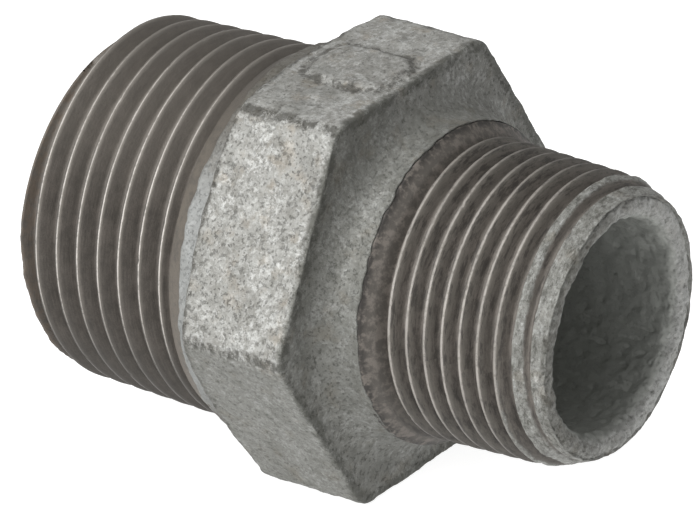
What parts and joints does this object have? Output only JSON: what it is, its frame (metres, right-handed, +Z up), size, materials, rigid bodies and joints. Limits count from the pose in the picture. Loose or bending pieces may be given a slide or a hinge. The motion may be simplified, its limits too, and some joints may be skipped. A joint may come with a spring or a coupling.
{
  "type": "reducing hexagon nipple",
  "caption": "Galvanised iron pipe nipple with a spanner hexagon between a large and a small male taper thread, open right through.",
  "frame": {"origin": "on the ground, in the middle of the box around the fitting, which lies on one flat of its hexagon", "axes": "+X along the bore towards the small thread, +Z up through the raised pad on the top flat, +Y across two corners of the hexagon"},
  "size_m": [0.053, 0.0412, 0.0363],
  "materials": {
    "cut_iron": "bare malleable iron as cut by the dies, satin, bright on the thread crests",
    "hot_dip_zinc": null
  },
  "bodies": {
    "root": {"casting": "cut_iron", "outer_zinc_coat": "hot_dip_zinc", "bore_zinc_coat": "hot_dip_zinc"}
  },
  "joints": []
}
